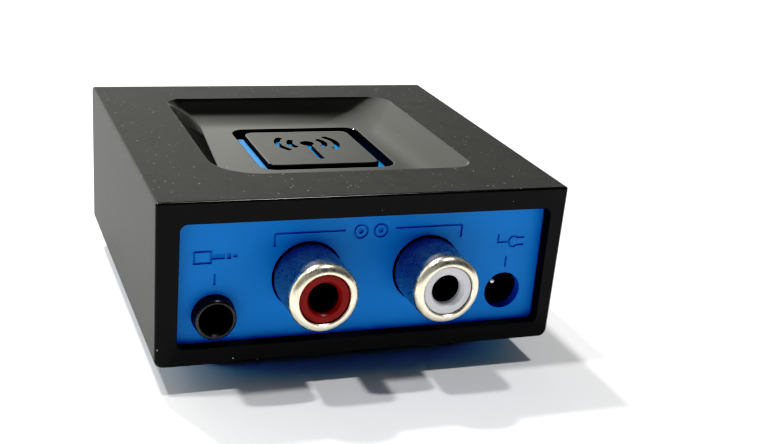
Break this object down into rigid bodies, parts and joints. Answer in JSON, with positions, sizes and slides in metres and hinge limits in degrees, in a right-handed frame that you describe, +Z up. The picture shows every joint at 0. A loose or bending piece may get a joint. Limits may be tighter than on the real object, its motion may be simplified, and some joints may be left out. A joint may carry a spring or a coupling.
{
  "type": "bluetooth audio receiver",
  "caption": "Small square desktop box that receives wireless audio, with phono, 3.5 mm and power sockets in a blue panel and a pairing button in its top.",
  "frame": {"origin": "middle of the base pad's underside, which the receiver stands on", "axes": "+Z up, the sockets face -Y, +X to the right as seen from the sockets' side"},
  "size_m": [0.051, 0.0565, 0.024],
  "materials": {
    "shell_black": "fine matte texture",
    "dish_black": "high gloss",
    "cap_black": "satin",
    "blue_plastic": "satin, engraved marks",
    "cover_blue": "satin",
    "glow_blue": "translucent",
    "pad_rubber": "fine grain",
    "nickel": "bright plated",
    "red_plastic": "smooth",
    "white_plastic": "smooth",
    "socket_black": "smooth",
    "contact_metal": "plated spring metal",
    "board_green": "solder mask",
    "chip_black": "moulded, with tinned leads",
    "can_metal": "brushed",
    "ceramic_tan": "fired ceramic",
    "ceramic_white": "fired ceramic",
    "led_clear": "clear resin",
    "screw_steel": "zinc plated"
  },
  "bodies": {
    "housing": {"top_shell": "shell_black", "top_dish": "dish_black", "light_ring": "glow_blue", "connector_panel": "blue_plastic", "bottom_cover": "cover_blue", "base_pad": "pad_rubber", "switch_base": "chip_black", "switch_cover": "can_metal", "phono_red_body": "red_plastic", "phono_red_sleeve": "nickel", "phono_red_contact": "contact_metal", "phono_white_body": "white_plastic", "phono_white_sleeve": "nickel", "phono_white_contact": "contact_metal", "aux_jack_body": "socket_black", "aux_jack_contacts": "contact_metal", "dc_jack_body": "socket_black", "dc_jack_pin": "nickel", "dc_jack_spring": "contact_metal", "main_board": "board_green", "radio_chip": "chip_black", "flash_chip": "chip_black", "audio_chip": "chip_black", "crystal": "can_metal", "chip_antenna": "ceramic_white", "power_inductor": "chip_black", "voltage_regulator": "chip_black", "electrolytic_capacitors": "can_metal", "ceramic_capacitors": "ceramic_tan", "chip_resistors": "chip_black", "status_leds": "led_clear", "case_screws": "screw_steel", "board_screws": "screw_steel"},
    "button": {"button_cap": "cap_black", "button_carrier": "glow_blue", "switch_plunger": "socket_black"}
  },
  "joints": [
    {"name": "button_press", "type": "slide", "parent": "housing", "child": "button", "axis": [0, 0, -1], "range_m": [0, 0.0004], "stiffness_N_per_m": 1500}
  ]
}
